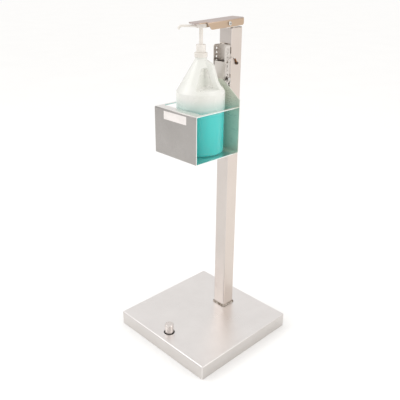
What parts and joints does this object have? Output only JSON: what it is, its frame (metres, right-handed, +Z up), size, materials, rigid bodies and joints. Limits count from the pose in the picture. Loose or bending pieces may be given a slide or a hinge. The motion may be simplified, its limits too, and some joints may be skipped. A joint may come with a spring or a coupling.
{
  "type": "hand sanitizer floor stand",
  "caption": "Foot-operated dispenser stand: folded square base, square post, height-adjustable bottle tray, one gallon pump jug and a rocking top lever.",
  "frame": {"origin": "middle of the square footprint, on the floor", "axes": "+Z up along the post, -Y is the front of the bottle tray, +Y is the post side, +X is the side with the lock pin head"},
  "size_m": [0.425, 0.425, 1.0917],
  "materials": {
    "satin_sheet": "fine grained satin sheet",
    "satin_tube": "satin tube with faint draw lines",
    "satin_channel": "satin folded sheet",
    "satin_tray": "brushed satin sheet with bright edges",
    "satin_lever": "satin folded sheet",
    "weld_metal": "rippled weld bead",
    "rod_metal": "drawn bar",
    "bar_metal": "mill flat bar",
    "button_metal": "turned bar with a faced top",
    "bright_steel": "bright plated",
    "milky_plastic": "milky translucent blown plastic",
    "gel": "clear tinted gel",
    "white_plastic": "moulded white",
    "clear_plastic": "natural translucent",
    "soft_seal": "soft pale seal",
    "nylon": "natural nylon",
    "label_film": "bare white film",
    "cable": "stranded wire in clear coat",
    "dark_crimp": "dark crimped sleeve",
    "copper_crimp": "copper crimped sleeve"
  },
  "bodies": {
    "root": {"base_tray": "satin_sheet", "post": "satin_tube", "post_foot_weld": "weld_metal", "height_channel": "satin_channel", "channel_weld": "weld_metal", "bottle_tray": "satin_tray", "tray_riser": "satin_channel", "riser_weld": "weld_metal", "front_label": "label_film", "jug": "milky_plastic", "sanitizer_gel": "gel", "pump_closure": "white_plastic", "pump_collar": "white_plastic", "pump_gasket": "soft_seal", "pump_cylinder": "clear_plastic", "dip_tube": "clear_plastic", "pump_spring": "bright_steel", "pivot_bracket": "satin_channel", "bracket_weld": "weld_metal", "lever_pivot_bolt": "bright_steel", "lever_pivot_nut": "bright_steel", "rod_bush_lower": "nylon", "rod_bush_upper": "nylon", "pedal_hinge_bracket": "satin_channel", "pedal_hinge_pin": "bright_steel", "pedal_pin_clip": "bright_steel", "lanyard": "cable", "lanyard_end_high": "copper_crimp", "anchor_screw": "bright_steel"},
    "pedal": {"pedal_bar": "bar_metal", "foot_button": "button_metal", "button_screw": "bright_steel"},
    "rod": {"push_rod": "rod_metal"},
    "lever": {"top_lever": "satin_lever"},
    "stem": {"pump_stem": "white_plastic"},
    "head": {"pump_head": "white_plastic"},
    "pin": {"lock_pin": "bright_steel", "pin_ring": "bright_steel", "lanyard_end_low": "dark_crimp"}
  },
  "joints": [
    {"name": "pedal_press", "type": "hinge", "parent": "root", "child": "pedal", "pos_m": [0, 0, 0.0372], "axis": [1, 0, 0], "range_deg": [0, 5.25]},
    {"name": "rod_lift", "type": "slide", "parent": "root", "child": "rod", "axis": [0, 0, 1], "range_m": [0, 0.0099]},
    {"name": "lever_rock", "type": "hinge", "parent": "root", "child": "lever", "pos_m": [0, 0.0722, 1.0763], "axis": [1, 0, 0], "range_deg": [0, 15]},
    {"name": "pump_stroke", "type": "slide", "parent": "root", "child": "stem", "axis": [0, 0, -1], "range_m": [0, 0.0295], "stiffness_N_per_m": 150, "springref_m": -0.03, "deforming": ["pump_spring"]},
    {"name": "nozzle_turn", "type": "hinge", "parent": "stem", "child": "head", "pos_m": [0, -0.0219, 1.05], "axis": [0, 0, 1], "range_deg": [-40, 130]},
    {"name": "pin_pull", "type": "slide", "parent": "root", "child": "pin", "axis": [1, 0, 0], "range_m": [0, 0.06]}
  ],
  "couplings": [
    {"joint": "rod_lift", "follows": "pedal_press", "m_per_rad": 0.107},
    {"joint": "lever_rock", "follows": "pedal_press", "ratio": 2.8534},
    {"joint": "pump_stroke", "follows": "pedal_press", "m_per_rad": 0.3215}
  ]
}
